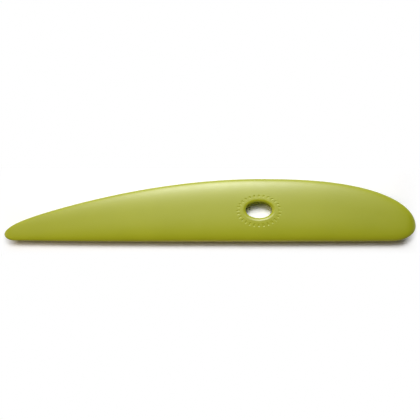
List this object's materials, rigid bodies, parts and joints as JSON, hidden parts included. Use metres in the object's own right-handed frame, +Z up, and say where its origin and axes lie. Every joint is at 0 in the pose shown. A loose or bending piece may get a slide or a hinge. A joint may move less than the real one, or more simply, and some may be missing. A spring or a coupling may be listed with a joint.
{
  "type": "pottery rib",
  "caption": "Long tapered flexible pottery rib with a curved working edge, a nearly straight edge, a narrow tip, a broad round heel and an oval finger hole.",
  "frame": {"origin": "on the resting surface, under the middle of the outline's box", "axes": "+X from the narrow tip to the broad heel, +Y from the nearly straight edge to the curved working edge, +Z up out of the domed face"},
  "size_m": [0.289, 0.0444, 0.0074],
  "materials": {
    "polymer": "satin"
  },
  "bodies": {
    "root": {"rib_body": "polymer"}
  },
  "joints": []
}
